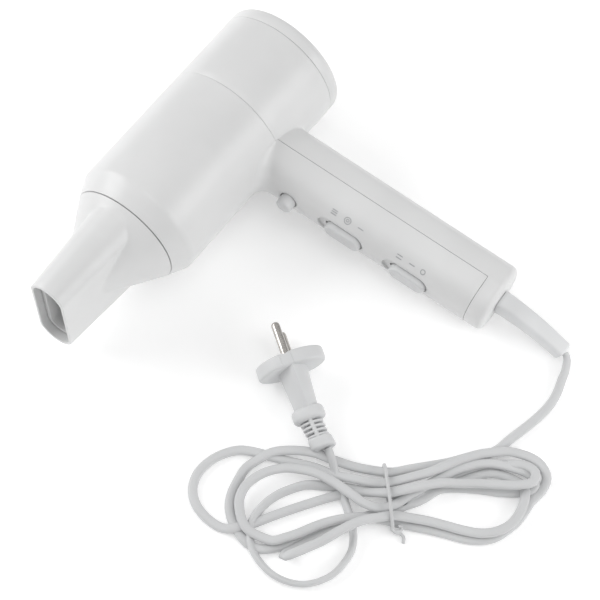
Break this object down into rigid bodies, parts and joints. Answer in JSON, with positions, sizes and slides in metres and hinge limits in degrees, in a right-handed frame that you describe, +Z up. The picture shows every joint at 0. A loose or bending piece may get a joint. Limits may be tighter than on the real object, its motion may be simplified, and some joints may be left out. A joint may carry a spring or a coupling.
{
  "type": "hair dryer",
  "caption": "Hand-held hair dryer lying on its side, with a slot-shaped air nozzle, sliding switches, a cool-shot button and a tied mains cord with its plug.",
  "frame": {"origin": "bottom centre of the dryer's own box as it lies on a table, without its free cord and plug", "axes": "+X out of the air nozzle along the barrel, +Y towards the cord end of the handle, +Z up from the table"},
  "size_m": [0.2442, 0.2995, 0.074],
  "materials": {
    "shell": "satin white moulded plastic",
    "grille": "satin white moulded plastic",
    "filter_foam": "dark open mesh",
    "nozzle": "satin white moulded plastic",
    "nozzle_inner": "matte white moulded plastic",
    "dark_plastic": "matte dark plastic",
    "mica": "mica sheet",
    "heating_wire": "bare resistance wire",
    "steel": "plated steel",
    "inner_plastic": "matte grey plastic",
    "bronze": "sintered bronze",
    "copper_winding": "enamelled copper",
    "magnet": "sintered ferrite and carbon",
    "control": "satin white moulded plastic",
    "circuit_board": "laminate",
    "cord_sheath": "matte white flexible sheath",
    "guard": "matte white flexible moulding",
    "wire": "insulated wire",
    "tie": "plastic-covered wire",
    "plug": "satin white moulded plastic",
    "pin": "nickel plate"
  },
  "bodies": {
    "casing": {"front_shell": "shell", "rear_shell": "shell", "outlet_grille": "dark_plastic", "mica_tube": "mica", "mica_cross": "mica", "heating_coil_low": "heating_wire", "heating_coil_high": "heating_wire", "thermostat": "steel", "thermal_fuse": "steel", "motor_mount": "inner_plastic", "motor_can": "steel", "motor_end_cap": "inner_plastic", "bearing_rear": "bronze", "bearing_front": "bronze", "magnet_left": "magnet", "magnet_right": "magnet", "brush_left": "magnet", "brush_right": "magnet", "heat_switch": "dark_plastic", "speed_switch": "dark_plastic", "cool_shot_switch": "dark_plastic", "circuit_board": "circuit_board", "capacitor": "inner_plastic", "handle_screw_upper": "steel", "handle_screw_lower": "steel", "cord_clamp": "inner_plastic", "clamp_screw_left": "steel", "clamp_screw_right": "steel", "inner_cord": "cord_sheath", "cord_guard": "guard", "lead_live": "wire", "heater_lead_live": "wire", "heater_lead_neutral": "wire", "lead_cord": "cord_sheath", "plug_cord": "cord_sheath", "cord_hank": "cord_sheath", "cord_tie": "tie", "plug_body": "plug", "plug_pin_upper": "pin", "plug_pin_lower": "pin"},
    "nozzle": {"concentrator_nozzle": "nozzle", "nozzle_liner": "nozzle_inner"},
    "rear_cap": {"rear_grille": "grille", "dust_filter": "filter_foam"},
    "rotor": {"fan": "dark_plastic", "motor_shaft": "steel", "armature": "copper_winding", "commutator": "copper_winding"},
    "cool_shot_button": {"cool_shot_button": "control"},
    "heat_slider": {"heat_slider": "control"},
    "speed_slider": {"speed_slider": "control"}
  },
  "joints": [
    {"name": "nozzle_turn", "type": "hinge", "parent": "casing", "child": "nozzle", "pos_m": [0.04, -0.0927, 0.037], "axis": [1, 0, 0], "continuous": true},
    {"name": "rear_cap_pull", "type": "slide", "parent": "casing", "child": "rear_cap", "axis": [-1, 0, 0], "range_m": [0, 0.03]},
    {"name": "fan_spin", "type": "hinge", "parent": "casing", "child": "rotor", "pos_m": [-0.07885, -0.0927, 0.037], "axis": [1, 0, 0], "continuous": true},
    {"name": "cool_shot_press", "type": "slide", "parent": "casing", "child": "cool_shot_button", "axis": [-0.9986, -0.052, 0.0058], "range_m": [0, 0.0025], "stiffness_N_per_m": 600, "springref_m": -0.0015},
    {"name": "heat_slide", "type": "slide", "parent": "casing", "child": "heat_slider", "axis": [0.0523, -0.9925, 0.1103], "range_m": [0, 0.005]},
    {"name": "speed_slide", "type": "slide", "parent": "casing", "child": "speed_slider", "axis": [0.0523, -0.9925, 0.1103], "range_m": [0, 0.005]}
  ]
}
